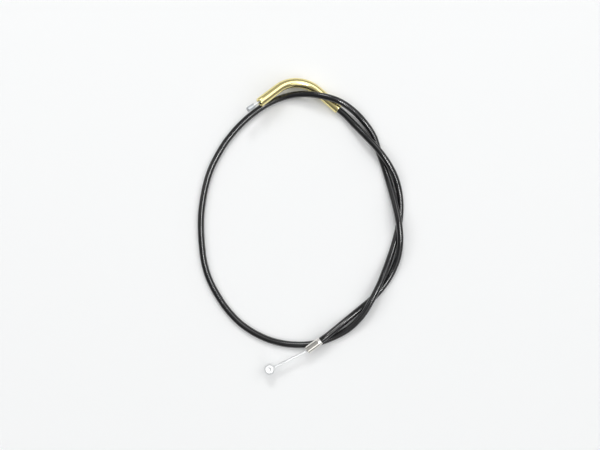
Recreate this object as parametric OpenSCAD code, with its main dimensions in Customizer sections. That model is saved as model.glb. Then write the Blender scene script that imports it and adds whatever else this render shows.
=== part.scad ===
// Bowden control cable lying in two loose turns on a flat surface.
// One stranded wire slides in a sheathed casing between a bent guide tube, where
// it ends in a small nipple, and a straight ferrule, where it ends in a barrel.

/* [Casing] */
// Outer diameter of the casing's plastic jacket
casing_d = 3.8; // [3.4:0.1:3.8]
// Wall of the plastic jacket
jacket_wall = 0.45; // [0.3:0.05:0.55]
// Radial thickness of the close-wound steel conduit
conduit_wall = 0.46; // [0.3:0.02:0.5]
// Wall of the plastic liner that the wire runs in
liner_wall = 0.2; // [0.1:0.05:0.2]
// Radial gap between one casing layer and the next
layer_gap = 0.03; // [0.01:0.01:0.05]

/* [Inner wire] */
// Diameter of the stranded wire
wire_d = 1.2; // [0.8:0.1:1.2]
// Radial gap between a soldered fitting and the wire in it
solder_gap = 0.02; // [0.01:0.01:0.04]

/* [Bent guide tube] */
// Outer diameter of the guide tube
elbow_d = 5.6; // [5.3:0.1:5.7]
// Bore of the guide tube past the casing's seat
elbow_bore = 3; // [2.8:0.1:3.2]
// Length of the straight leg that grips the casing
tail_len = 16.3; // [15.5:0.1:17.5]
// Length of the straight leg at the open mouth
mouth_len = 14.8; // [14.4:0.1:16]
// Radius of the bend on its centreline
bend_r = 18; // [17.5:0.5:19]
// Angle that the tube turns through
bend_angle = 81; // [78:1:84]
// How far the casing goes into the tail leg
elbow_seat = 8; // [5:0.5:11]
// Thinning of the wall on each surface of the bend
bend_thin = 0.03; // [0.02:0.01:0.08]
// Rounding of the tube's outer edges
elbow_round = 0.4; // [0.2:0.05:0.6]
// Depth of the chamfer at the mouth's bore
mouth_chamfer = 0.45; // [0.2:0.05:0.6]
// Roll about the tail leg that lifts the mouth
elbow_roll = 20; // [15:0.5:22]

/* [Ferrule] */
// Outer diameter of the ferrule's body
ferrule_d = 4.6; // [4.5:0.05:4.8]
// Length of the ferrule's body
ferrule_len = 7.8; // [6:0.1:10]
// Outer diameter of the crimped neck
neck_d = 4.3; // [4.2:0.05:4.4]
// Length of the crimped neck
neck_len = 2.1; // [1.5:0.1:3]
// Width of the groove between body and neck
groove_w = 0.35; // [0.2:0.05:0.5]
// Depth of the groove below the neck's surface
groove_depth = 0.06; // [0.03:0.01:0.08]
// Thickness of the ferrule's end wall
ferrule_end = 1.2; // [0.8:0.1:2]
// Hole in the end wall for the wire
ferrule_bore = 2.6; // [2.2:0.1:3]
// Rounding of the ferrule's outer end
ferrule_round = 0.5; // [0.2:0.05:0.7]

/* [Nipple] */
// Diameter of the nipple
nipple_d = 3; // [2.6:0.1:3.2]
// Length of the nipple
nipple_len = 5; // [4:0.5:6]
// Chamfer on both ends of the nipple
nipple_chamfer = 0.3; // [0.1:0.05:0.5]
// Bare wire between the guide tube and the nipple
nipple_gap = 3.3; // [3.3:0.1:5]

/* [Barrel] */
// Diameter of the barrel
barrel_d = 6; // [5:0.1:7]
// Height of the barrel
barrel_h = 5; // [4:0.5:6]
// Chamfer on the barrel's rims
barrel_chamfer = 0.7; // [0.3:0.1:0.9]
// Diameter of the dimple in each flat end
dimple_d = 2.35; // [1.5:0.05:3]
// Depth of the dimple
dimple_depth = 0.5; // [0.2:0.1:0.8]
// How far the wire goes past the barrel's axis
wire_past = 1; // [0:0.5:1.5]
// Bare wire between the ferrule and the barrel
barrel_gap = 21.1; // [21.1:0.1:26]

/* [Fits and travel] */
// Gap between the casing and its seats, round it and at its ends
seat_gap = 0.05; // [0.03:0.01:0.08]
// How far the wire can be drawn out at the nipple
draw_out = 20; // [15:0.5:20]
// Length of stiff wire left in the mouth when it is drawn out
wire_left = 0.3; // [0.2:0.1:0.5]
// How far the stiff wire lies to the outside of the bend at the mouth
wire_aside = 0.45; // [0.3:0.05:0.5]
// Angle by which the stiff wire points to the outside of the bend
wire_swing = 2.9; // [2.6:0.1:3.1]
// How far the stiff wire hangs below the mouth's axis
wire_sag = 0.45; // [0.3:0.05:0.5]

/* [Hidden] */

// Smoothness of turned surfaces
$fn = 64;
// Steps in a quarter of a rounded edge
round_steps = 4;
// Sides of every swept tube, with a flat side below
tube_sides = 8;
// Steps between two route points when the gap is measured
gap_steps = 4;
// Least gap that the casing keeps to itself
gap_wanted = 0.4;
// Length along the casing that counts as one neighbourhood, in route points
gap_skip = 3;

// Radii from the jacket inwards
jacket_r = casing_d / 2;
jacket_in = jacket_r - jacket_wall;
conduit_r = jacket_in - layer_gap;
conduit_in = conduit_r - conduit_wall;
liner_r = conduit_in - layer_gap;
liner_in = liner_r - liner_wall;
wire_r = wire_d / 2;
seat_r = jacket_r + seat_gap;
solder_r = wire_r + solder_gap;

// Place and heading of the guide tube's tail end, where the casing leaves it
tail_at = [25.8, 68.2];
tail_heading = -41;
// Place, height and heading of the ferrule's mouth, from where the casing runs on
ferrule_at = [7.2, -71.8];
ferrule_z = 6.5;
ferrule_heading = 35.8;
// Heading of the bare wire from the barrel to the ferrule
wire_heading = 26.2;
// Straight casing past the tail end and past the neck
tail_straight = 5;
neck_straight = 4.6;
// Drop of the casing in its straight run past the neck
neck_drop = 0.2;

elbow_r = elbow_d / 2;
bore_r = elbow_bore / 2;
elbow_z = elbow_r;
ferrule_total = ferrule_len + neck_len;
barrel_r = barrel_d / 2;
// Stiff wire behind the nipple, measured from the mouth into the tube
stiff_in = draw_out + wire_left;
// Axial gap between the stiff wire and the flexible wire in the bend
wire_joint = 0.3;
// Spacing of the inner wire's rings in the bend
bend_step = 4;
// How far each straight leg's wall runs over the thinner wall of the bend
bend_lap = 0.1;
// How far a cut runs past the faces that it opens
overcut = 1;

// The casing's way on the surface and over itself, from the guide tube to the ferrule
lying = 1.9;
ROUTE = [
    [35.1, 59, 3.7], [42, 51.7, 5.6], [48.5, 44.5, 6.2], [54.2, 36.8, 5.6], [58.7, 28.4, 3.7],
    [61.2, 19.3, 2.1], [61.8, 10, lying], [60.9, 0.8, lying], [58.8, -8.1, lying], [56.2, -16.5, 2.2],
    [53, -24.9, 3.6], [49.3, -33.6, 5.6], [44.8, -42.4, 6.3], [39.2, -51.7, 4.9], [31.5, -59.6, 2.7],
    [21.6, -65, lying], [10.8, -68.4, lying], [-0.6, -68.9, lying], [-11.9, -67, lying],
    [-22.3, -62.7, lying], [-31.6, -56.5, lying], [-39.2, -48.5, lying], [-45.1, -39.8, lying],
    [-49.8, -30.6, lying], [-52.7, -21.1, lying], [-54, -11.6, lying], [-54.6, -2.3, lying],
    [-54.5, 6.8, lying], [-53.4, 15.9, lying], [-51.6, 24.8, lying], [-48.7, 33.8, lying],
    [-44.4, 42.4, lying], [-39.1, 50.7, lying], [-32.4, 58.6, lying], [-24.4, 65.8, lying],
    [-15, 72, 2], [-4.4, 76, 2.6], [5.8, 76.9, 5.3], [15.8, 75.5, 7.7], [25.6, 72.5, 8],
    [34.1, 67.2, 5.6], [40.8, 60.6, 2.9], [46, 52.9, 2], [48.8, 44.8, lying], [52.1, 35.6, lying],
    [54.8, 26.7, 2.1], [57.1, 18.2, 3.7], [59.1, 9.6, 5.4], [60.7, 0.8, 6.2], [61.3, -8.6, 5.6],
    [60.1, -18.1, 3.7], [56.7, -27.1, 2.1], [51.4, -35.3, lying], [44.9, -42.5, lying],
    [37.3, -48.9, lying], [29.7, -55, 2.8], [22.7, -60.5, 4.9]
];

// A point that lies at a distance along a heading, at a height
function ahead(at, a, d, z) = [at[0] + d * cos(a), at[1] + d * sin(a), z];

// Casing centreline with its straight ends in the guide tube and in the ferrule
CASING = concat(
    [ahead(tail_at, tail_heading, seat_gap - elbow_seat, elbow_z), ahead(tail_at, tail_heading, 0, elbow_z),
        ahead(tail_at, tail_heading, tail_straight, elbow_z)],
    ROUTE,
    [ahead(ferrule_at, ferrule_heading, ferrule_total + neck_straight, ferrule_z - neck_drop),
        ahead(ferrule_at, ferrule_heading, ferrule_total, ferrule_z),
        ahead(ferrule_at, ferrule_heading, ferrule_end + seat_gap, ferrule_z)]
);

// A point of the guide tube's centreline in its own plane, at a length from the tail end
function elbow_line(s) =
    let (arc = bend_r * bend_angle * PI / 180)
    let (a = min(max(s - tail_len, 0), arc) / bend_r * 180 / PI)
    let (out = max(s - tail_len - arc, 0))
    [min(s, tail_len) + bend_r * sin(a) + out * cos(a), bend_r * (1 - cos(a)) + out * sin(a), 0];
elbow_length = tail_len + mouth_len + bend_r * bend_angle * PI / 180;

// The guide tube's own plane placed in the model: rolled, turned and set on the surface
function roll(p) = [p[0], p[1] * cos(elbow_roll), p[1] * sin(elbow_roll)];
function turn(p, a) = [p[0] * cos(a) - p[1] * sin(a), p[0] * sin(a) + p[1] * cos(a), p[2]];
function elbow_place(p) = turn(roll(p), tail_heading + 180) + [tail_at[0], tail_at[1], elbow_z];

// Flexible wire: from the stiff wire's tip round the bend, then along the casing
bend_from = elbow_length - stiff_in - wire_joint;
bend_steps = max(2, round((bend_from - elbow_seat) / bend_step));
BEND = [
    for (i = [0 : bend_steps - 1])
        elbow_place(elbow_line(bend_from + (elbow_seat - bend_from) * i / bend_steps))
];
WIRE = concat(BEND, CASING);

// Ring of points round a route point, square to the route
function unit(v) = v / norm(v);
function along(path, i) = unit(path[min(i + 1, len(path) - 1)] - path[max(i - 1, 0)]);
function ring(path, i, r) =
    let (t = along(path, i))
    let (side = unit(cross([0, 0, 1], t)))
    let (up = cross(t, side))
    [for (k = [0 : tube_sides - 1])
        let (a = (k + 0.5) * 360 / tube_sides)
        path[i] + r * (cos(a) * side + sin(a) * up)];

// Triangles between ring i and ring i + 1 of a tube, facing out or in
function band(i, first, inward) = [
    for (k = [0 : tube_sides - 1])
        let (a = first + i * tube_sides + k)
        let (b = first + i * tube_sides + (k + 1) % tube_sides)
        for (f = [[a, b, b + tube_sides], [a, b + tube_sides, a + tube_sides]])
            inward ? [f[0], f[1], f[2]] : [f[2], f[1], f[0]]
];

// Solid rod swept along a path
module swept_rod(path, r) {
    n = len(path);
    points = [for (i = [0 : n - 1]) each ring(path, i, r)];
    last = (n - 1) * tube_sides;
    faces = concat(
        [for (i = [0 : n - 2]) each band(i, 0, false)],
        [for (k = [1 : tube_sides - 2]) [0, k, k + 1]],
        [for (k = [1 : tube_sides - 2]) [last, last + k + 1, last + k]]
    );
    polyhedron(points = points, faces = faces, convexity = 10);
}

// Hollow tube swept along a path
module swept_tube(path, r_out, r_in) {
    n = len(path);
    inner = n * tube_sides;
    last = (n - 1) * tube_sides;
    points = concat(
        [for (i = [0 : n - 1]) each ring(path, i, r_out)],
        [for (i = [0 : n - 1]) each ring(path, i, r_in)]
    );
    faces = concat(
        [for (i = [0 : n - 2]) each band(i, 0, false)],
        [for (i = [0 : n - 2]) each band(i, inner, true)],
        [for (k = [0 : tube_sides - 1])
            let (m = (k + 1) % tube_sides)
            for (f = [[k, m, inner + m], [k, inner + m, inner + k]]) f],
        [for (k = [0 : tube_sides - 1])
            let (m = (k + 1) % tube_sides)
            for (f = [[last + m, last + k, inner + last + k],
                [last + m, inner + last + k, inner + last + m]]) f]
    );
    polyhedron(points = points, faces = faces, convexity = 10);
}

// Smooth curve through the route points, for measuring only
function curve(path, i, t) =
    let (a = path[max(i - 1, 0)], b = path[i], c = path[i + 1], d = path[min(i + 2, len(path) - 1)])
    (2 * b + (c - a) * t + (2 * a - 5 * b + 4 * c - d) * t * t
        + (3 * b - a - 3 * c + d) * t * t * t) / 2;
SAMPLES = [
    for (i = [0 : len(CASING) - 2])
        for (j = [0 : gap_steps - 1])
            curve(CASING, i, j / gap_steps)
];
least_distance = min([
    for (i = [0 : len(SAMPLES) - 1])
        for (j = [i + gap_skip * gap_steps : 1 : len(SAMPLES) - 1])
            norm(SAMPLES[i] - SAMPLES[j])
]);
function length_to(path, i) = i == 0 ? 0 : norm(path[i] - path[i - 1]) + length_to(path, i - 1);
echo(str("least gap of the casing to itself: ", least_distance - casing_d, " mm, wanted over ",
    gap_wanted, " mm"));
echo(str("length of the casing: ", length_to(SAMPLES, len(SAMPLES) - 1), " mm"));
echo(str("mouth of the guide tube: ", elbow_place(elbow_line(elbow_length))));
echo(str("direction out of the mouth: ",
    elbow_place(elbow_line(elbow_length + 1)) - elbow_place(elbow_line(elbow_length))));
echo(str("centre of the barrel: ",
    ahead(ferrule_at, wire_heading, -barrel_gap - barrel_r, ferrule_z)));

// Puts children that are drawn in the guide tube's own plane into the model
module place_elbow() {
    translate([tail_at[0], tail_at[1], elbow_z])
        rotate([0, 0, tail_heading + 180])
            rotate([elbow_roll, 0, 0])
                children();
}

// Puts children drawn along +Z onto the stiff wire's axis, pointing out of the mouth
module place_mouth() {
    end = elbow_line(elbow_length);
    place_elbow()
        translate(end)
            rotate([0, 0, bend_angle])
                translate([0, -wire_aside, -wire_sag])
                    rotate([0, 90, -wire_swing])
                        children();
}

// Points of a quarter round between two directions, about a centre
function quarter(c, r, from) = [
    for (i = [0 : round_steps])
        let (a = from + 90 * i / round_steps)
        c + r * [cos(a), sin(a)]
];

// Straight leg at the open end, with a rounded rim and a chamfered bore
module mouth_leg() {
    rotate_extrude()
        polygon(concat(
            [[bore_r, -bend_lap], [elbow_r, -bend_lap]],
            quarter([elbow_r - elbow_round, mouth_len - elbow_round], elbow_round, 0),
            [[bore_r + mouth_chamfer, mouth_len], [bore_r, mouth_len - mouth_chamfer]]
        ));
}

// Straight leg with the casing's seat, drawn from the bend outwards
module tail_leg() {
    rotate_extrude()
        polygon(concat(
            [[bore_r, -bend_lap], [elbow_r, -bend_lap]],
            quarter([elbow_r - elbow_round, tail_len - elbow_round], elbow_round, 0),
            [[seat_r, tail_len], [seat_r, tail_len - elbow_seat], [bore_r, tail_len - elbow_seat]]
        ));
}

module elbow_tube() {
    color("goldenrod")
        place_elbow()
            union() {
                translate([tail_len, 0, 0])
                    rotate([0, -90, 0])
                        tail_leg();
                translate([tail_len, bend_r, 0])
                    rotate([0, 0, -90])
                        rotate_extrude(angle = bend_angle)
                            translate([bend_r, 0])
                                difference() {
                                    circle(r = elbow_r - bend_thin);
                                    circle(r = bore_r + bend_thin);
                                }
                translate(elbow_line(elbow_length - mouth_len))
                    rotate([0, 0, bend_angle])
                        rotate([0, 90, 0])
                            mouth_leg();
            }
}

module casing_jacket() {
    color("black")
        swept_tube(CASING, jacket_r, jacket_in);
}

module casing_conduit() {
    color("gray")
        swept_tube(CASING, conduit_r, conduit_in);
}

module casing_liner() {
    color("whitesmoke")
        swept_tube(CASING, liner_r, liner_in);
}

module inner_wire() {
    color("silver")
        swept_rod(WIRE, wire_r);
}

// Drawn cap with a rounded end, a groove and a neck crimped on the casing
module ferrule() {
    body_r = ferrule_d / 2;
    neck_r = neck_d / 2;
    hole_r = ferrule_bore / 2;
    shoulder = (body_r - neck_r) / 2;
    color("gainsboro")
        translate(ahead(ferrule_at, ferrule_heading, 0, ferrule_z))
            rotate([0, 0, ferrule_heading])
                rotate([0, 90, 0])
                    rotate_extrude()
                        polygon(concat(
                            [[seat_r, ferrule_total], [seat_r, ferrule_end], [hole_r, ferrule_end],
                                [hole_r, 0]],
                            quarter([body_r - ferrule_round, ferrule_round], ferrule_round, -90),
                            [[body_r, ferrule_len - shoulder], [body_r - shoulder, ferrule_len],
                                [neck_r - groove_depth, ferrule_len],
                                [neck_r - groove_depth, ferrule_len + groove_w],
                                [neck_r, ferrule_len + groove_w], [neck_r, ferrule_total]]
                        ));
}

module nipple() {
    color("lightgray")
        place_mouth()
            translate([0, 0, nipple_gap])
                difference() {
                    rotate_extrude()
                        polygon([[0, 0], [nipple_d / 2 - nipple_chamfer, 0],
                            [nipple_d / 2, nipple_chamfer],
                            [nipple_d / 2, nipple_len - nipple_chamfer],
                            [nipple_d / 2 - nipple_chamfer, nipple_len], [0, nipple_len]]);
                    translate([0, 0, -overcut])
                        cylinder(h = nipple_len + 2 * overcut, r = solder_r);
                }
}

module nipple_wire() {
    color("silver")
        place_mouth()
            translate([0, 0, -stiff_in])
                cylinder(h = stiff_in + nipple_gap + nipple_len, r = wire_r);
}

// Puts children drawn along +X onto the bare wire, from the barrel's axis to the ferrule
module place_barrel() {
    translate(ahead(ferrule_at, wire_heading, -barrel_gap - barrel_r, ferrule_z))
        rotate([0, 0, wire_heading])
            children();
}

module barrel() {
    color("lightgray")
        place_barrel()
            difference() {
                rotate_extrude()
                    polygon([[0, dimple_depth - barrel_h / 2], [dimple_d / 2, dimple_depth - barrel_h / 2],
                        [dimple_d / 2, -barrel_h / 2], [barrel_r - barrel_chamfer, -barrel_h / 2],
                        [barrel_r, barrel_chamfer - barrel_h / 2],
                        [barrel_r, barrel_h / 2 - barrel_chamfer],
                        [barrel_r - barrel_chamfer, barrel_h / 2], [dimple_d / 2, barrel_h / 2],
                        [dimple_d / 2, barrel_h / 2 - dimple_depth], [0, barrel_h / 2 - dimple_depth]]);
                translate([-wire_past, 0, 0])
                    rotate([0, 90, 0])
                        cylinder(h = barrel_d, r = solder_r);
            }
}

module barrel_wire() {
    color("silver")
        place_barrel()
            translate([-wire_past + solder_gap, 0, 0])
                rotate([0, 90, 0])
                    cylinder(h = wire_past + barrel_r + barrel_gap + ferrule_end - wire_joint, r = wire_r);
}

casing_jacket();
casing_conduit();
casing_liner();
inner_wire();
elbow_tube();
ferrule();
nipple();
nipple_wire();
barrel();
barrel_wire();
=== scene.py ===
"""Looks of a sheathed control cable that lies in two loose turns.

The casing is a black plastic jacket over close-wound steel, and a stranded wire slides in it.
One end has a bent brass guide tube with a small nipple, the other a ferrule with a barrel on
bare wire. All lengths are in millimetres until a mesh is placed, and in metres in the scene.
"""

import logging
import math
from collections.abc import Callable
from dataclasses import dataclass, field
from enum import Enum

import bpy
from mathutils import Matrix, Vector


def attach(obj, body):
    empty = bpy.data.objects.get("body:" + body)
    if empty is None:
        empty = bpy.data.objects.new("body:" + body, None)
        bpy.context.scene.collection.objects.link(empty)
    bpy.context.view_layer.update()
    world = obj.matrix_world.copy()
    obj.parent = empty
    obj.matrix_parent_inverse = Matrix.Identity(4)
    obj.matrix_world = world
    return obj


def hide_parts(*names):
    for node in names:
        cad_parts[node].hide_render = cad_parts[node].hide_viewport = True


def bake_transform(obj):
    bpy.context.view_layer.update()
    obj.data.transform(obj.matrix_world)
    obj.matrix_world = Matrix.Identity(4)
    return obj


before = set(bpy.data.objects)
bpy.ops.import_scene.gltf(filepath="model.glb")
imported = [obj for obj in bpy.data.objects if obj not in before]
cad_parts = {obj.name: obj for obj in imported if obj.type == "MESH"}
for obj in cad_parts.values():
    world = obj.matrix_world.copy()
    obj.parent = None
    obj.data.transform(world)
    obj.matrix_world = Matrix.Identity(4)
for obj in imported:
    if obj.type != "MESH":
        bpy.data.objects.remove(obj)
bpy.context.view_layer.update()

LOG = logging.getLogger("control_cable")

MM = 0.001  # one millimetre, in metres
SAME_RADIUS = 1e-6  # radii closer than this, in millimetres, count as equal
MERGE_DISTANCE = 0.002  # points closer than this, in millimetres, become one
SPAN_SAMPLES = 24  # fine samples between two points of a curve
SHORTEST = 1e-9  # keeps a division by a length from failing

# The casing's way, in millimetres, from the guide tube to the ferrule: the solid's own points
LYING = 1.9
ROUTE = [
    (35.1, 59, 3.7), (42, 51.7, 5.6), (48.5, 44.5, 6.2), (54.2, 36.8, 5.6), (58.7, 28.4, 3.7),
    (61.2, 19.3, 2.1), (61.8, 10, LYING), (60.9, 0.8, LYING), (58.8, -8.1, LYING),
    (56.2, -16.5, 2.2), (53, -24.9, 3.6), (49.3, -33.6, 5.6), (44.8, -42.4, 6.3),
    (39.2, -51.7, 4.9), (31.5, -59.6, 2.7), (21.6, -65, LYING), (10.8, -68.4, LYING),
    (-0.6, -68.9, LYING), (-11.9, -67, LYING), (-22.3, -62.7, LYING), (-31.6, -56.5, LYING),
    (-39.2, -48.5, LYING), (-45.1, -39.8, LYING), (-49.8, -30.6, LYING), (-52.7, -21.1, LYING),
    (-54, -11.6, LYING), (-54.6, -2.3, LYING), (-54.5, 6.8, LYING), (-53.4, 15.9, LYING),
    (-51.6, 24.8, LYING), (-48.7, 33.8, LYING), (-44.4, 42.4, LYING), (-39.1, 50.7, LYING),
    (-32.4, 58.6, LYING), (-24.4, 65.8, LYING), (-15, 72, 2), (-4.4, 76, 2.6), (5.8, 76.9, 5.3),
    (15.8, 75.5, 7.7), (25.6, 72.5, 8), (34.1, 67.2, 5.6), (40.8, 60.6, 2.9), (46, 52.9, 2),
    (48.8, 44.8, LYING), (52.1, 35.6, LYING), (54.8, 26.7, 2.1), (57.1, 18.2, 3.7),
    (59.1, 9.6, 5.4), (60.7, 0.8, 6.2), (61.3, -8.6, 5.6), (60.1, -18.1, 3.7),
    (56.7, -27.1, 2.1), (51.4, -35.3, LYING), (44.9, -42.5, LYING), (37.3, -48.9, LYING),
    (29.7, -55, 2.8), (22.7, -60.5, 4.9),
]


class Body(Enum):
    """The bodies that the pieces ride on."""

    CABLE = "cable"
    NIPPLE = "nipple_end"
    BARREL = "barrel_end"


class Slot(Enum):
    """The record's material slots."""

    JACKET = "jacket"
    WIRE = "wire"
    BRASS = "brass_tube"
    NICKEL = "nickel"
    ZINC = "zinc"


# ---------------------------------------------------------------- materials


def linear(hex_colour: str) -> tuple[float, float, float, float]:
    """Turns an sRGB hex colour into the linear colour that a shader takes.

    Args:
        hex_colour: Six hex digits, such as "E8CF6A".

    Returns:
        Linear red, green and blue, with an alpha of 1.
    """
    parts = [int(hex_colour[i:i + 2], 16) / 255 for i in (0, 2, 4)]
    red, green, blue = (c / 12.92 if c <= 0.04045 else ((c + 0.055) / 1.055) ** 2.4
                        for c in parts)
    return (red, green, blue, 1.0)


def add_node(tree: bpy.types.NodeTree, kind: str, settings: dict | None = None,
             values: dict | None = None, links: dict | None = None) -> bpy.types.Node:
    """Adds a node with its settings, its input values and the links into it.

    Args:
        tree: The node tree that gets the node.
        kind: The node's type name.
        settings: Attribute name to value.
        values: Input name or number to default value.
        links: Input name or number to a pair of node and output name or number.

    Returns:
        The new node.
    """
    node = tree.nodes.new(kind)
    for name, value in (settings or {}).items():
        setattr(node, name, value)
    for name, value in (values or {}).items():
        node.inputs[name].default_value = value
    for name, (source, output) in (links or {}).items():
        tree.links.new(source.outputs[output], node.inputs[name])
    return node


@dataclass(frozen=True)
class Finish:
    """A surface finish: a principled shader whose grain is noise on Object coordinates.

    The grain blends the colour into the tint and the low roughness into the high one. The marks
    that the making leaves are mostly finer than a tenth of a millimetre and would not show, so
    they are drawn as coarse as grain_mm says.
    """

    name: str
    colour: str
    tint: str
    metallic: float
    rough_low: float
    rough_high: float
    bump_mm: float
    grain_mm: float = 0.5
    specular: float = 0.5

    def grain(self, tree: bpy.types.NodeTree) -> tuple[bpy.types.Node, str]:
        """Makes the pattern that drives colour, roughness and bump.

        Args:
            tree: The material's node tree.

        Returns:
            The node and the name of its output.
        """
        place = add_node(tree, "ShaderNodeTexCoord")
        noise = add_node(tree, "ShaderNodeTexNoise",
                         values={"Scale": 1 / (self.grain_mm * MM), "Detail": 3.0,
                                 "Roughness": 0.6},
                         links={"Vector": (place, "Object")})
        return noise, "Fac"

    def material(self) -> bpy.types.Material:
        """Builds the material.

        Returns:
            The new material, or the one made before under this name.
        """
        made = bpy.data.materials.get(self.name)
        if made:
            return made
        made = bpy.data.materials.new(self.name)
        made.use_nodes = True
        tree = made.node_tree
        tree.nodes.clear()
        pattern = self.grain(tree)
        colour = add_node(tree, "ShaderNodeMix", {"data_type": "RGBA"},
                          {6: linear(self.colour), 7: linear(self.tint)}, {0: pattern})
        rough = add_node(tree, "ShaderNodeMapRange", None,
                         {"To Min": self.rough_low, "To Max": self.rough_high}, {"Value": pattern})
        bump = add_node(tree, "ShaderNodeBump", None,
                        {"Strength": 1.0, "Distance": self.bump_mm * MM}, {"Height": pattern})
        shader = add_node(tree, "ShaderNodeBsdfPrincipled", None,
                          {"Metallic": self.metallic, "Specular IOR Level": self.specular},
                          {"Base Color": (colour, 2), "Roughness": (rough, "Result"),
                           "Normal": (bump, "Normal")})
        add_node(tree, "ShaderNodeOutputMaterial", None, None, {"Surface": (shader, "BSDF")})
        return made


@dataclass(frozen=True)
class ExtrudedJacket(Finish):
    """Extruded plastic: streaks run along the casing, on its own UV map.

    The lines that a die leaves are a few hundredths of a millimetre wide. Round the jacket they
    are drawn about 0.85 mm wide, because finer ones would not show.
    """

    streak_mm: float = 6.0
    streaks_round: float = 14.0

    def grain(self, tree: bpy.types.NodeTree) -> tuple[bpy.types.Node, str]:
        """Makes streaks that are long along the casing and short round it.

        Args:
            tree: The material's node tree.

        Returns:
            The node and the name of its output.
        """
        place = add_node(tree, "ShaderNodeTexCoord")
        stretch = add_node(tree, "ShaderNodeMapping", None,
                           {"Scale": (1 / (self.streak_mm * MM), self.streaks_round, 1.0)},
                           {"Vector": (place, "UV")})
        noise = add_node(tree, "ShaderNodeTexNoise",
                         values={"Scale": 1.0, "Detail": 4.0, "Roughness": 0.55},
                         links={"Vector": (stretch, "Vector")})
        return noise, "Fac"


# Flexible PVC, extruded over the coil: a glossy black skin with faint long streaks
JACKET_PVC = ExtrudedJacket("extruded_black_pvc", "0A0A0C", "121214", metallic=0.0,
                            rough_low=0.05, rough_high=0.1, bump_mm=0.002, specular=0.75)
# Cartridge brass, drawn and polished: a bright lemon yellow with hardly any grain
POLISHED_BRASS = Finish("polished_drawn_brass", "F8ECB0", "F0E09A", metallic=1.0,
                        rough_low=0.12, rough_high=0.22, bump_mm=0.002, grain_mm=0.6)
# Bright nickel over brass: a mirror with a slightly warm cast
BRIGHT_NICKEL = Finish("bright_nickel_plate", "F1EFEA", "E7E4DC", metallic=1.0,
                       rough_low=0.06, rough_high=0.14, bump_mm=0.002)
# Nickel crimped hard on the casing: the same plate, rougher where the crimp bruised it, and lighter
# as a painted highlight on the neck
CRIMPED_NICKEL_PAINTED_HIGHLIGHT = Finish("crimped_nickel_painted_highlight", "F8F7F3", "EFEDE7", metallic=1.0,
                        rough_low=0.3, rough_high=0.42, bump_mm=0.006, grain_mm=0.4)
# The bore of a drawn tube: dull brass painted dark, a painted shade for the shadow inside the bore
BORE_PAINTED_SHADE = Finish("brass_bore_painted_shade", "2A2416", "1C1810", metallic=0.4,
                     rough_low=0.45, rough_high=0.6, bump_mm=0.004)
# Die-cast zinc: a pale cloudy grey, made lighter than the nipple's as a painted highlight on the
# barrel's flat face
ZINC_PAINTED_HIGHLIGHT = Finish("zinc_painted_highlight", "F4F5F5", "E6E8E9", metallic=0.55,
                      rough_low=0.32, rough_high=0.46, bump_mm=0.004, grain_mm=0.35)
# The same die-cast zinc, a shade darker as a painted shade on the nipple
ZINC_PAINTED_SHADE = Finish("zinc_painted_shade", "CFD3D6", "B4B9BC", metallic=0.7,
                   rough_low=0.34, rough_high=0.48, bump_mm=0.006, grain_mm=0.35)
# Galvanised steel strand: thin bright wires
BRIGHT_STRAND = Finish("galvanised_strand", "F6F7F7", "E9EBEC", metallic=0.6,
                       rough_low=0.24, rough_high=0.36, bump_mm=0.001, grain_mm=0.4)
# Soft solder, flowed and cooled: dull silver with a slight ripple
SOFT_SOLDER = Finish("soft_solder", "C9CBCB", "B4B6B7", metallic=1.0,
                     rough_low=0.3, rough_high=0.5, bump_mm=0.01, grain_mm=0.3)
# Spring steel of the wound conduit: mid grey and oily
WOUND_STEEL = Finish("wound_spring_steel", "8E9092", "7A7C7F", metallic=1.0,
                     rough_low=0.3, rough_high=0.5, bump_mm=0.004)
# Natural nylon: milky and smooth
NATURAL_NYLON = Finish("natural_nylon", "E8E6DF", "DAD8D0", metallic=0.0,
                       rough_low=0.35, rough_high=0.5, bump_mm=0.002, grain_mm=0.8)


# ---------------------------------------------------------------- modelling helpers


def rest_selection() -> None:
    """Leaves edit mode and deselects every object."""
    if bpy.context.mode != "OBJECT":
        bpy.ops.object.mode_set(mode="OBJECT")
    bpy.ops.object.select_all(action="DESELECT")


def take(piece: bpy.types.Object) -> None:
    """Makes one object the only selected and active one.

    Args:
        piece: The object to select.
    """
    rest_selection()
    piece.select_set(True)
    bpy.context.view_layer.objects.active = piece


def dress(piece: bpy.types.Object, finish: Finish, body: Body, slot: Slot, *nodes: str) -> None:
    """Gives a finished piece its material and its body, and hides the nodes that it replaces.

    Args:
        piece: The piece, in place.
        finish: What it is made of.
        body: The body that it rides on.
        slot: Not used.
        nodes: The solids that it stands for.
    """
    piece.data.materials.clear()
    piece.data.materials.append(finish.material())
    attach(piece, body.value)
    if nodes:
        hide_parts(*nodes)
    LOG.info("piece %s: %d faces, rides on %s", piece.name, len(piece.data.polygons), body.value)


def paint_faces(piece: bpy.types.Object, finish: Finish, place: Matrix,
                holds: Callable[[Vector], bool]) -> None:
    """Gives a second finish to the faces of a dressed piece that pass a test.

    Args:
        piece: The piece.
        finish: The second finish.
        place: Where the model frame has the piece's own frame, in metres.
        holds: The test, on a face's centre in the piece's own frame, in millimetres.
    """
    piece.data.materials.append(finish.material())
    home = place.inverted()
    for face in piece.data.polygons:
        if holds((home @ face.center) / MM):
            face.material_index = 1


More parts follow.
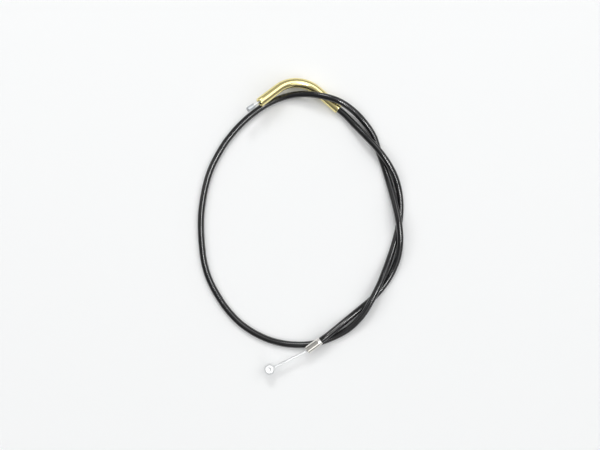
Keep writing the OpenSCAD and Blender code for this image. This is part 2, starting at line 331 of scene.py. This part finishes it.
class RingWalk:
    """Models a turned or bent tube by moving one ring of edges along and extruding it."""

    def __init__(self, name: str, sides: int, radius: float, start: float = 0.0) -> None:
        """Adds the first ring, square to +X.

        Args:
            name: The piece's name.
            sides: Edges in the ring.
            radius: The ring's radius in millimetres.
            start: The ring's place along X, in millimetres.
        """
        rest_selection()
        bpy.ops.mesh.primitive_circle_add(vertices=sides, radius=radius * MM,
                                          location=(0, 0, 0), rotation=(0, math.pi / 2, 0))
        self.piece = bpy.context.object
        self.piece.name = name
        self.piece.data.name = name
        bpy.ops.object.transform_apply(location=False, rotation=True, scale=True)
        self.radius = radius
        self.centre = Vector((0, 0, 0))
        self.heading = Vector((1, 0, 0))
        bpy.ops.object.mode_set(mode="EDIT")
        bpy.ops.mesh.select_mode(type="VERT")
        bpy.ops.mesh.select_all(action="SELECT")
        if start:
            bpy.ops.transform.translate(value=self.heading * start * MM)
            self.centre = self.heading * start

    def go(self, advance: float, radius: float) -> "RingWalk":
        """Extrudes the ring along its heading and sets its new radius.

        Args:
            advance: How far it goes, in millimetres.
            radius: The radius that it ends with.

        Returns:
            The walk itself.
        """
        bpy.ops.mesh.extrude_region_move(
            TRANSFORM_OT_translate={"value": self.heading * advance * MM})
        self.centre = self.centre + self.heading * advance
        if abs(radius - self.radius) > SAME_RADIUS:
            factor = radius / self.radius
            bpy.ops.transform.resize(value=(factor, factor, factor),
                                     center_override=self.centre * MM)
        self.radius = radius
        return self

    def run(self, advance: float, pieces: int) -> "RingWalk":
        """Extrudes the ring straight on without a change of radius.

        Args:
            advance: The whole way, in millimetres.
            pieces: The number of equal steps.

        Returns:
            The walk itself.
        """
        for _ in range(pieces):
            self.go(advance / pieces, self.radius)
        return self

    def round_off(self, depth: float, outward: bool, steps: int = 5) -> "RingWalk":
        """Goes round a quarter circle at an edge between a side and an end face.

        Args:
            depth: The quarter's radius, in millimetres.
            outward: True from the end face onto the side, False from the side onto the end.
            steps: Steps in the quarter.

        Returns:
            The walk itself.
        """
        at, radius = 0.0, self.radius
        for i in range(1, steps + 1):
            a = math.pi / 2 * i / steps
            along = depth * (1 - math.cos(a)) if outward else depth * math.sin(a)
            side = depth * math.sin(a) if outward else -depth * (1 - math.cos(a))
            self.go(along - at, radius + side)
            at = along
        return self

    def bend(self, degrees: float, bend_radius: float, steps: int) -> "RingWalk":
        """Spins the ring round a centre to the left of its heading, in the XY plane.

        Args:
            degrees: The angle, positive where the ring goes on and negative where it goes back.
            bend_radius: The radius of the bend, in millimetres.
            steps: Rings in the bend.

        Returns:
            The walk itself.
        """
        left = Vector((-self.heading.y, self.heading.x, 0))
        pivot = self.centre + left * bend_radius
        turn = Matrix.Rotation(math.radians(degrees), 3, "Z")
        bpy.ops.mesh.spin(steps=steps, angle=-math.radians(degrees), center=pivot * MM,
                          axis=(0, 0, 1))
        self.centre = pivot + turn @ (self.centre - pivot)
        self.heading = turn @ self.heading
        return self

    def shut(self) -> "RingWalk":
        """Closes the ring with a flat cap and returns the walk."""
        bpy.ops.mesh.edge_face_add()
        return self

    def close(self, place: Matrix, smooth_deg: float = 35.0) -> bpy.types.Object:
        """Merges what meets, closes poles, turns the faces outwards and sets the mesh in place.

        Args:
            place: Where the model frame has the walk's own frame, in metres.
            smooth_deg: Edges flatter than this are shaded smooth.

        Returns:
            The finished piece, its object at the origin.
        """
        bpy.ops.mesh.select_all(action="SELECT")
        bpy.ops.mesh.remove_doubles(threshold=MERGE_DISTANCE * MM)
        bpy.ops.mesh.fill_holes(sides=0)
        bpy.ops.mesh.normals_make_consistent(inside=False)
        rest_selection()
        self.piece.matrix_world = place
        take(self.piece)
        bpy.ops.object.transform_apply(location=True, rotation=True, scale=True)
        bpy.ops.object.shade_smooth_by_angle(angle=math.radians(smooth_deg))
        return self.piece


def catmull(points: list[Vector], step: float, floor: float) -> list[Vector]:
    """Runs a smooth curve through the points and samples it at equal lengths.

    Args:
        points: The points, in millimetres.
        step: The wanted distance between two samples.
        floor: The least height of a sample.

    Returns:
        The samples, in millimetres.
    """
    fine: list[Vector] = []
    for i in range(len(points) - 1):
        a, b = points[max(i - 1, 0)], points[i]
        c, d = points[i + 1], points[min(i + 2, len(points) - 1)]
        for j in range(SPAN_SAMPLES):
            t = j / SPAN_SAMPLES
            p = (2 * b + (c - a) * t + (2 * a - 5 * b + 4 * c - d) * t * t
                 + (3 * b - a - 3 * c + d) * t ** 3) / 2
            fine.append(Vector((p.x, p.y, max(p.z, floor))))
    fine.append(points[-1].copy())
    lengths = [0.0]
    for p, q in zip(fine, fine[1:]):
        lengths.append(lengths[-1] + (q - p).length)
    count = max(2, round(lengths[-1] / step))
    samples, k = [], 0
    for i in range(count + 1):
        want = lengths[-1] * i / count
        while k < len(fine) - 2 and lengths[k + 1] < want:
            k += 1
        part = (want - lengths[k]) / max(lengths[k + 1] - lengths[k], SHORTEST)
        samples.append(fine[k].lerp(fine[k + 1], min(part, 1.0)))
    return samples


def ring_frames(path: list[Vector]) -> list[tuple[Vector, Vector]]:
    """Finds the two directions that span each ring of a swept tube.

    Args:
        path: The tube's centreline, never upright.

    Returns:
        A sideways and an upward unit vector for each point.
    """
    frames = []
    for i in range(len(path)):
        ahead = (path[min(i + 1, len(path) - 1)] - path[max(i - 1, 0)]).normalized()
        side = Vector((0, 0, 1)).cross(ahead).normalized()
        frames.append((side, ahead.cross(side)))
    return frames


def spoke(axes: tuple[Vector, Vector], angle: float) -> Vector:
    """Finds the unit vector at an angle in the plane of two axes.

    Args:
        axes: Two unit vectors that are square to each other.
        angle: The angle from the first to the second, in radians.

    Returns:
        The unit vector.
    """
    return axes[0] * math.cos(angle) + axes[1] * math.sin(angle)


def mesh_piece(name: str, verts: list[Vector], faces: list[tuple[int, ...]],
               smooth_deg: float = 50.0) -> bpy.types.Object:
    """Makes a piece from points in millimetres and faces.

    Args:
        name: The piece's name.
        verts: Its points.
        faces: Its faces, seen from outside.
        smooth_deg: Edges flatter than this are shaded smooth.

    Returns:
        The piece, linked to the scene.
    """
    mesh = bpy.data.meshes.new(name)
    mesh.from_pydata([v * MM for v in verts], [], faces)
    mesh.update()
    piece = bpy.data.objects.new(name, mesh)
    bpy.context.scene.collection.objects.link(piece)
    take(piece)
    bpy.ops.object.shade_smooth_by_angle(angle=math.radians(smooth_deg))
    return piece


# ---------------------------------------------------------------- the cable's parts


@dataclass
class Casing:
    """The casing: a round jacket in which the wound conduit shows as low ridges.

    The tail is its end in the guide tube, where it starts inside the seat and stays straight for
    a while. The neck is where it leaves the ferrule, from whose seat it sinks a little.
    """

    radius: float = 1.9
    ridge: float = 0.03
    pitch: float = 1.05
    bore: float = 1.5
    cup_depth: float = 1.0
    sides: int = 20
    rings_per_pitch: int = 6
    tail_at: tuple[float, float] = (25.8, 68.2)
    tail_heading: float = -41.0
    tail_z: float = 2.8
    tail_seat: float = -7.95
    tail_straight: float = 5.0
    ferrule_at: tuple[float, float] = (7.2, -71.8)
    ferrule_heading: float = 35.8
    ferrule_z: float = 6.5
    ferrule_seat: float = 1.25
    neck_end: float = 9.9
    neck_straight: float = 4.6
    neck_drop: float = 0.2
    length_m: float = 0.595
    path: list[Vector] = field(default_factory=list)

    def run_from(self, at: tuple[float, float], heading: float, distance: float,
                 z: float) -> Vector:
        """Finds the point at a distance along a level heading.

        Args:
            at: The start, seen from above.
            heading: The direction in degrees from +X.
            distance: How far along it.
            z: The height.

        Returns:
            The point, in millimetres.
        """
        a = math.radians(heading)
        return Vector((at[0] + distance * math.cos(a), at[1] + distance * math.sin(a), z))

    def route(self) -> list[Vector]:
        """Lists the casing's points from the guide tube's seat to the ferrule's.

        Returns:
            The points, in millimetres.
        """
        tail = [self.run_from(self.tail_at, self.tail_heading, distance, self.tail_z)
                for distance in (self.tail_seat, 0.0, self.tail_straight)]
        neck = [self.run_from(self.ferrule_at, self.ferrule_heading, distance, z)
                for distance, z in ((self.neck_end + self.neck_straight,
                                     self.ferrule_z - self.neck_drop),
                                    (self.neck_end, self.ferrule_z),
                                    (self.ferrule_seat, self.ferrule_z))]
        return tail + [Vector(p) for p in ROUTE] + neck

    def build(self) -> None:
        step = self.pitch / self.rings_per_pitch
        self.path = catmull(self.route(), step, self.radius)
        frames = ring_frames(self.path)
        n, k = len(self.path), self.sides
        verts: list[Vector] = []
        for i, (centre, axes) in enumerate(zip(self.path, frames)):
            for j in range(k):
                a = 2 * math.pi * j / k
                wave = math.cos(2 * math.pi * i / self.rings_per_pitch - a)
                r = self.radius - self.ridge * (1 - wave) / 2
                verts.append(centre + spoke(axes, a) * r)
        faces = [(i * k + j, i * k + (j + 1) % k, (i + 1) * k + (j + 1) % k, (i + 1) * k + j)
                 for i in range(n - 1) for j in range(k)]
        for ring, first in ((0, 0), (n - 1, (n - 1) * k)):
            faces += self.end_face(verts, self.path[ring], frames[ring], first, ring == 0)
        piece = mesh_piece("casing_sheath", verts, faces)
        self.unwrap(piece, step)
        dress(piece, JACKET_PVC, Body.CABLE, Slot.JACKET, "casing_jacket")

    def end_face(self, verts: list[Vector], centre: Vector, axes: tuple[Vector, Vector],
                 first: int, at_start: bool) -> list[tuple[int, ...]]:
        """Closes one end with a flat ring and a shallow cup for the conduit's end.

        Args:
            verts: The mesh's points, which get the new ones.
            centre: The end's centre.
            axes: The directions that span the end's ring.
            first: The number of the outer ring's first point.
            at_start: True at the guide tube's end.

        Returns:
            The new faces.
        """
        k = self.sides
        inward = axes[0].cross(axes[1]) * (1.0 if at_start else -1.0)
        base = len(verts)
        for depth in (0.0, self.cup_depth):
            for j in range(k):
                verts.append(centre + inward * depth
                             + spoke(axes, 2 * math.pi * j / k) * self.bore)
        cup = tuple(base + k + j for j in range(k))
        faces: list[tuple[int, ...]] = []
        for j in range(k):
            m = (j + 1) % k
            faces.append((first + m, first + j, base + j, base + m))
            faces.append((base + m, base + j, base + k + j, base + k + m))
        faces.append(tuple(reversed(cup)))
        if not at_start:
            faces = [tuple(reversed(f)) for f in faces]
        return faces

    def unwrap(self, piece: bpy.types.Object, step: float) -> None:
        """Gives the jacket a UV map: metres along it, and turns round it.

        Args:
            piece: The jacket.
            step: The distance between two rings, in millimetres.
        """
        k, rings = self.sides, len(self.path)
        layer = piece.data.uv_layers.new(name="along_and_round")
        for face in piece.data.polygons:
            corners = [piece.data.loops[i].vertex_index for i in face.loop_indices]
            wraps = max(c % k for c in corners) - min(c % k for c in corners) > 1
            for i, c in zip(face.loop_indices, corners):
                turn = c % k
                if wraps and turn == 0:
                    turn = k
                along = min(c // k, rings - 1) * step * MM
                layer.data[i].uv = (along, turn / k)


@dataclass
class GuideTube:
    """The bent brass tube: two straight legs, a bend, a seat for the casing and a bore."""

    outer: float = 2.8
    bore: float = 1.5
    seat: float = 1.95
    seat_depth: float = 8.0
    tail_leg: float = 16.3
    mouth_leg: float = 14.8
    bend_radius: float = 18.0
    bend_deg: float = 81.0
    rim: float = 0.4
    chamfer: float = 0.45
    # How far past the bore the painted shade reaches, in millimetres
    painted_shade_edge: float = 0.15
    roll_deg: float = 20.0
    sides: int = 64
    bend_rings: int = 28

    def place(self, casing: Casing) -> Matrix:
        """Finds where the tube's own plane stands: rolled, turned and set on the surface.

        Args:
            casing: The casing, which knows the tail end.

        Returns:
            The matrix from the tube's frame to the model's, in metres.
        """
        at = Vector((casing.tail_at[0], casing.tail_at[1], casing.tail_z)) * MM
        return (Matrix.Translation(at)
                @ Matrix.Rotation(math.radians(casing.tail_heading + 180), 4, "Z")
                @ Matrix.Rotation(math.radians(self.roll_deg), 4, "X"))

    def mouth(self, casing: Casing) -> Matrix:
        """Finds the frame at the open mouth, its X axis pointing out of the tube.

        Args:
            casing: The casing, which knows the tail end.

        Returns:
            The matrix from the mouth's frame to the model's, in metres.
        """
        a = math.radians(self.bend_deg)
        end = Vector((self.tail_leg + self.bend_radius * math.sin(a) + self.mouth_leg * math.cos(a),
                      self.bend_radius * (1 - math.cos(a)) + self.mouth_leg * math.sin(a), 0))
        return self.place(casing) @ Matrix.Translation(end * MM) @ Matrix.Rotation(a, 4, "Z")

    def off_centre(self, p: Vector) -> float:
        """Finds how far a point of the tube's own frame lies from its centreline.

        Args:
            p: The point, in millimetres.

        Returns:
            The distance, in millimetres.
        """
        if p.x <= self.tail_leg:
            return math.hypot(p.y, p.z)
        pivot = Vector((self.tail_leg, self.bend_radius, 0))
        turned = Matrix.Rotation(math.radians(-self.bend_deg), 3, "Z") @ (p - pivot)
        if turned.x >= 0:
            return math.hypot(turned.y + self.bend_radius, p.z)
        return math.hypot(math.hypot(*(p - pivot).xy) - self.bend_radius, p.z)

    def build(self, casing: Casing) -> None:
        """Builds the tube as one closed wall.

        Args:
            casing: The casing that goes into its tail leg.
        """
        walk = RingWalk("guide_tube", self.sides, self.seat, self.seat_depth)
        walk.go(-self.seat_depth, self.seat).go(0, self.outer - self.rim)
        walk.round_off(self.rim, outward=True).run(self.tail_leg - self.rim, pieces=4)
        walk.bend(self.bend_deg, self.bend_radius, self.bend_rings)
        walk.run(self.mouth_leg - self.rim, pieces=3).round_off(self.rim, outward=False)
        walk.go(0, self.bore + self.chamfer).go(-self.chamfer, self.bore)
        walk.run(-(self.mouth_leg - self.chamfer), pieces=3)
        walk.bend(-self.bend_deg, self.bend_radius, self.bend_rings)
        walk.run(-(self.tail_leg - self.seat_depth), pieces=2).go(0, self.seat)
        place = self.place(casing)
        piece = walk.close(place)
        dress(piece, POLISHED_BRASS, Body.CABLE, Slot.BRASS, "elbow_tube")
        # The faces of the bore get a painted shade
        paint_faces(piece, BORE_PAINTED_SHADE, place,
                    lambda p: self.off_centre(p) < self.bore + self.painted_shade_edge)


@dataclass
class Ferrule:
    """The nickel cap: a rounded mouth, a body, a groove and a neck crimped on the casing."""

    body: float = 2.3
    body_length: float = 7.8
    neck: float = 2.15
    neck_length: float = 2.1
    groove: float = 2.09
    groove_width: float = 0.35
    mouth_hole: float = 1.3
    end_wall: float = 1.2
    mouth_round: float = 0.5
    seat: float = 1.95
    shoulder: float = 0.075
    sides: int = 64

    def build(self, casing: Casing) -> None:
        """Builds the ferrule as one closed wall.

        Args:
            casing: The casing, which knows the ferrule's place.
        """
        walk = RingWalk("ferrule_cap", self.sides, self.mouth_hole)
        walk.go(0, self.body - self.mouth_round).round_off(self.mouth_round, outward=True)
        walk.run(self.body_length - self.shoulder - self.mouth_round, pieces=3)
        walk.go(self.shoulder, self.body - self.shoulder).go(0, self.groove)
        walk.go(self.groove_width, self.groove).go(0, self.neck)
        walk.go(self.neck_length - self.groove_width - self.shoulder, self.neck)
        walk.go(self.shoulder, self.neck - self.shoulder).go(0, self.seat)
        walk.go(-(self.body_length + self.neck_length - self.end_wall), self.seat)
        walk.go(0, self.mouth_hole).go(-self.end_wall, self.mouth_hole)
        at = casing.run_from(casing.ferrule_at, casing.ferrule_heading, 0.0, casing.ferrule_z)
        place = (Matrix.Translation(at * MM)
                 @ Matrix.Rotation(math.radians(casing.ferrule_heading), 4, "Z"))
        piece = walk.close(place)
        dress(piece, BRIGHT_NICKEL, Body.CABLE, Slot.NICKEL, "ferrule")
        # The crimped neck gets a rougher nickel whose lighter colour is partly a painted highlight
        paint_faces(piece, CRIMPED_NICKEL_PAINTED_HIGHLIGHT, place,
                    lambda p: p.x > self.body_length + self.groove_width)


@dataclass
class Strand:
    """A length of stranded wire: a core with outer wires laid round it."""

    radius: float = 0.6
    outer_wires: int = 6
    lay: float = 9.0
    ring_step: float = 0.35
    wire_sides: int = 8

    def build(self, name: str, start: Vector, end: Vector) -> bpy.types.Object:
        """Builds a straight strand.

        Args:
            name: The piece's name.
            start: One end, in millimetres.
            end: The other end.

        Returns:
            The strand.
        """
        wire = self.radius / 3
        along = end - start
        count = max(2, round(along.length / self.ring_step))
        axis = along.normalized()
        side = Vector((0, 0, 1)).cross(axis).normalized()
        axes = (side, axis.cross(side))
        verts: list[Vector] = []
        faces: list[tuple[int, ...]] = []
        k = self.wire_sides
        for w in range(self.outer_wires + 1):
            base = len(verts)
            offset = 0.0 if w == self.outer_wires else self.radius - wire
            for i in range(count + 1):
                s = along.length * i / count
                a = 2 * math.pi * (w / self.outer_wires + s / self.lay)
                centre = start + axis * s + spoke(axes, a) * offset
                for j in range(k):
                    verts.append(centre + spoke(axes, 2 * math.pi * (j + 0.5) / k) * wire)
            faces += [(base + i * k + j, base + i * k + (j + 1) % k,
                       base + (i + 1) * k + (j + 1) % k, base + (i + 1) * k + j)
                      for i in range(count) for j in range(k)]
            faces.append(tuple(base + j for j in reversed(range(k))))
            faces.append(tuple(base + count * k + j for j in range(k)))
        return mesh_piece(name, verts, faces, smooth_deg=60.0)

    def hang(self, name: str, node: str, body: Body, ends: tuple[Vector, Vector]) -> None:
        """Builds a strand between the cable and a moving body, and hides the solid that it stands
        for.

        Args:
            name: The piece's name.
            node: The solid that it stands for.
            body: The moving body.
            ends: Its two ends, in millimetres.
        """
        wire = self.build(name, *ends)
        wire.data.materials.append(BRIGHT_STRAND.material())
        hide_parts(node)
        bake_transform(wire)
        LOG.info("piece %s: %d faces, blends to %s", name, len(wire.data.polygons), body.value)


@dataclass
class NippleEnd:
    """The nipple on its wire, just outside the guide tube's mouth.

    The wire leaves the mouth a little aside and below its centre. It reaches in past the mouth.
    """

    radius: float = 1.5
    length: float = 5.0
    chamfer: float = 0.3
    gap: float = 3.3
    aside: float = 0.45
    sag: float = 0.45
    swing_deg: float = 2.9
    hole: float = 0.62
    reach_in: float = 20.3
    still_to: float = 13.3
    sides: int = 48
    # The solder's rings: how far each one goes on, and its radius
    solder_sides: int = 24
    solder_start: float = 1.12
    solder_rings: tuple[tuple[float, float], ...] = ((0.1, 0.92), (0.08, 0.62), (0.04, 0.31))

    def build(self, casing: Casing, tube: GuideTube, strand: Strand) -> None:
        """Builds the nipple, its solder and its wire.

        Args:
            casing: The casing, which knows the guide tube's tail end.
            tube: The guide tube.
            strand: The make of the wire.
        """
        mouth = (tube.mouth(casing)
                 @ Matrix.Translation(Vector((0, -self.aside, -self.sag)) * MM)
                 @ Matrix.Rotation(math.radians(-self.swing_deg), 4, "Z"))
        walk = RingWalk("nipple_body", self.sides, self.hole, self.gap)
        walk.go(0, self.radius - self.chamfer).go(self.chamfer, self.radius)
        walk.run(self.length - 2 * self.chamfer, pieces=2)
        walk.go(self.chamfer, self.radius - self.chamfer).go(0, self.hole)
        walk.go(-self.length, self.hole)
        # The nipple's zinc is darker than the barrel's: a painted shade
        dress(walk.close(mouth), ZINC_PAINTED_SHADE, Body.NIPPLE, Slot.ZINC, "nipple")

        solder = RingWalk("nipple_solder", self.solder_sides, self.solder_start,
                          self.gap + self.length)
        for advance, radius in self.solder_rings:
            solder.go(advance, radius)
        dress(solder.shut().close(mouth, smooth_deg=80.0), SOFT_SOLDER, Body.NIPPLE, Slot.ZINC)

        inner, outer = ((mouth @ (Vector((x, 0, 0)) * MM)) / MM
                        for x in (-self.reach_in, self.gap + self.length))
        strand.hang("nipple_strand", "nipple_wire", Body.NIPPLE, (inner, outer))


@dataclass
class BarrelEnd:
    """The cross-drilled barrel on the bare wire."""

    radius: float = 3.0
    height: float = 5.0
    chamfer: float = 0.7
    dimple: float = 1.175
    dimple_depth: float = 0.5
    dimple_wall: float = 0.12
    drill_tip: float = 0.15
    gap: float = 21.1
    wire_heading: float = 26.2
    into_ferrule: float = 0.9
    sides: int = 64

    def centre(self, casing: Casing) -> Vector:
        """Finds the barrel's centre, in millimetres, out from the ferrule's mouth."""
        return casing.run_from(casing.ferrule_at, self.wire_heading, -self.gap - self.radius,
                               casing.ferrule_z)

    def build(self, casing: Casing, strand: Strand) -> None:
        """Builds the barrel and its bare wire.

        Args:
            casing: The casing, which knows the ferrule's mouth.
            strand: The make of the wire.
        """
        middle = self.centre(casing)
        upright = (Matrix.Translation(middle * MM)
                   @ Matrix.Rotation(math.radians(self.wire_heading), 4, "Z")
                   @ Matrix.Rotation(-math.pi / 2, 4, "Y"))
        cone = self.dimple_depth - self.dimple_wall
        walk = RingWalk("barrel_body", self.sides, self.drill_tip,
                        self.dimple_depth - self.height / 2)
        walk.go(-cone, self.dimple).go(-self.dimple_wall, self.dimple)
        walk.go(0, self.radius - self.chamfer)
        walk.go(self.chamfer, self.radius).run(self.height - 2 * self.chamfer, pieces=4)
        walk.go(self.chamfer, self.radius - self.chamfer).go(0, self.dimple)
        walk.go(-self.dimple_wall, self.dimple).go(-cone, self.drill_tip).shut()
        # The barrel's zinc is lighter than the nipple's: a painted highlight
        dress(walk.close(upright), ZINC_PAINTED_HIGHLIGHT, Body.BARREL, Slot.ZINC, "barrel")

        mouth, rim = (casing.run_from(casing.ferrule_at, self.wire_heading, distance,
                                      casing.ferrule_z)
                      for distance in (self.into_ferrule, -self.gap))
        strand.hang("barrel_strand", "barrel_wire", Body.BARREL, (middle, mouth))


# ---------------------------------------------------------------- light and camera


class Gives(Enum):
    """What a soft box gives: light, a glint on shiny things, or a wash that they don't show."""

    LIGHT = "light"
    GLINT = "glint"
    WASH = "wash"


@dataclass(frozen=True)
class SoftBox:
    """A soft box that stands off and faces the work.

    Its place and its spreads, which are half angles seen from the work, are in degrees. Its
    distance is in metres.
    """

    azimuth: float
    zenith: float
    spread_up: float
    spread_along: float
    radiance: float
    distance: float = 2.4
    gives: Gives = Gives.LIGHT

    def put(self, target: Vector) -> None:
        """Adds the lamp.

        Args:
            target: The point that it faces, in metres.
        """
        a, t = math.radians(self.azimuth), math.radians(self.zenith)
        height, width = (2 * self.distance * math.tan(math.radians(spread))
                         for spread in (self.spread_up, self.spread_along))
        data = bpy.data.lights.new("soft_box", "AREA")
        data.shape, data.size, data.size_y = "RECTANGLE", width, height
        data.energy = self.radiance * math.pi * width * height
        lamp = bpy.data.objects.new("soft_box", data)
        away = Vector((math.sin(t) * math.cos(a), math.sin(t) * math.sin(a), math.cos(t)))
        lamp.location = target + away * self.distance
        lamp.rotation_euler = away.to_track_quat("Z", "Y").to_euler()
        lamp.visible_diffuse = self.gives is not Gives.GLINT
        lamp.visible_glossy = self.gives is not Gives.WASH
        bpy.context.scene.collection.objects.link(lamp)


SOFT_BOXES = (
    # A wide window on the right, at the back
    SoftBox(azimuth=30.0, zenith=35.0, spread_up=18.0, spread_along=20.0, radiance=1.65),
    # A thin strip nearly overhead, which draws the narrow highlights
    SoftBox(azimuth=340.0, zenith=19.0, spread_up=2.6, spread_along=9.0, radiance=46.0,
            gives=Gives.GLINT),
    # A wide wash from the left, which keeps the shadows soft
    SoftBox(azimuth=150.0, zenith=25.0, spread_up=30.0, spread_along=30.0, radiance=0.88,
            gives=Gives.WASH),
    # A small box straight at the back
    SoftBox(azimuth=95.0, zenith=44.0, spread_up=7.0, spread_along=6.0, radiance=13.0),
    # A strip on the left
    SoftBox(azimuth=160.0, zenith=50.0, spread_up=5.0, spread_along=12.0, radiance=2.5),
    # A wide dim box on the right, at the front
    SoftBox(azimuth=306.0, zenith=40.0, spread_up=18.0, spread_along=16.0, radiance=1.0),
)

# The room's light, by the cosine of the angle to the middle of its glow: dim walls, then the glow
ROOM_LEVELS = ((0.0, (0.17, 0.17, 0.175)), (0.35, (0.24, 0.24, 0.245)),
               (0.75, (0.41, 0.41, 0.41)))


@dataclass
class Studio:
    """The plain floor, the soft light and the camera straight above."""

    centre: tuple[float, float] = (3.2, 0.9)
    camera_height: float = 600.0
    view_width: float = 351.2
    sensor: float = 36.0
    clip_m: tuple[float, float] = (0.01, 20.0)
    floor_half_m: float = 1.5
    floor_drop: float = 0.02
    floor_colour: str = "F7F8F8"
    glow_lean: float = 30.0
    glow_azimuth: float = 60.0

    def camera(self) -> None:
        """Makes the camera, which looks straight down with +Y up."""
        data = bpy.data.cameras.new("camera")
        data.sensor_width = self.sensor
        data.lens = self.sensor * self.camera_height / self.view_width
        data.clip_start, data.clip_end = self.clip_m
        camera = bpy.data.objects.new("camera", data)
        camera.location = (self.centre[0] * MM, self.centre[1] * MM, self.camera_height * MM)
        bpy.context.scene.collection.objects.link(camera)
        bpy.context.scene.camera = camera

    def floor(self) -> None:
        """Makes the pale floor, a hair below the cable."""
        rest_selection()
        bpy.ops.mesh.primitive_plane_add(size=2 * self.floor_half_m,
                                         location=(0, 0, -self.floor_drop * MM))
        floor = bpy.context.object
        floor.name = "floor"
        paper = bpy.data.materials.new("matt_white_board")
        paper.use_nodes = True
        tree = paper.node_tree
        tree.nodes.clear()
        shader = add_node(tree, "ShaderNodeBsdfDiffuse", None, {"Color": linear(self.floor_colour)})
        add_node(tree, "ShaderNodeOutputMaterial", None, None, {"Surface": (shader, "BSDF")})
        floor.data.materials.append(paper)

    def lamps(self) -> None:
        """Makes the soft boxes and the room's own light."""
        target = Vector((self.centre[0], self.centre[1], 0)) * MM
        for box in SOFT_BOXES:
            box.put(target)
        self.room()

    def room(self) -> None:
        """Lights the room: a wide glow overhead that leans to the back, and dim walls."""
        world = bpy.data.worlds.new("white_room")
        bpy.context.scene.world = world
        world.use_nodes = True
        tree = world.node_tree
        tree.nodes.clear()
        place = add_node(tree, "ShaderNodeTexCoord")
        lean, turn = math.radians(self.glow_lean), math.radians(self.glow_azimuth)
        middle = (math.sin(lean) * math.cos(turn), math.sin(lean) * math.sin(turn), math.cos(lean))
        facing = add_node(tree, "ShaderNodeVectorMath", {"operation": "DOT_PRODUCT"},
                          {1: middle}, {0: (place, "Generated")})
        ramp = add_node(tree, "ShaderNodeValToRGB", None, None, {"Fac": (facing, "Value")})
        stops = ramp.color_ramp.elements
        for number, (position, level) in enumerate(ROOM_LEVELS):
            stop = stops[number] if number < len(stops) else stops.new(position)
            stop.position, stop.color = position, (*level, 1)
        back = add_node(tree, "ShaderNodeBackground", None, {"Strength": 1.0},
                        {"Color": (ramp, "Color")})
        add_node(tree, "ShaderNodeOutputWorld", None, None, {"Surface": (back, "Background")})


def dress_inner_layers() -> None:
    """Gives the solids inside the casing their own finishes."""
    for node, finish in (("casing_conduit", WOUND_STEEL), ("casing_liner", NATURAL_NYLON),
                         ("inner_wire", BRIGHT_STRAND)):
        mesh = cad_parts[node].data
        mesh.materials.clear()
        mesh.materials.append(finish.material())


def main() -> None:
    """Builds the camera, the casing and then the fittings from end to end."""
    logging.basicConfig(level=logging.INFO, format="%(message)s")
    scene = bpy.context.scene
    scene.view_settings.view_transform = "Standard"
    studio = Studio()
    studio.camera()
    casing = Casing()
    casing.build()
    tube = GuideTube()
    tube.build(casing)
    Ferrule().build(casing)
    strand = Strand()
    NippleEnd().build(casing, tube, strand)
    BarrelEnd().build(casing, strand)
    dress_inner_layers()
    studio.floor()
    studio.lamps()


if __name__ == "__main__":
    main()
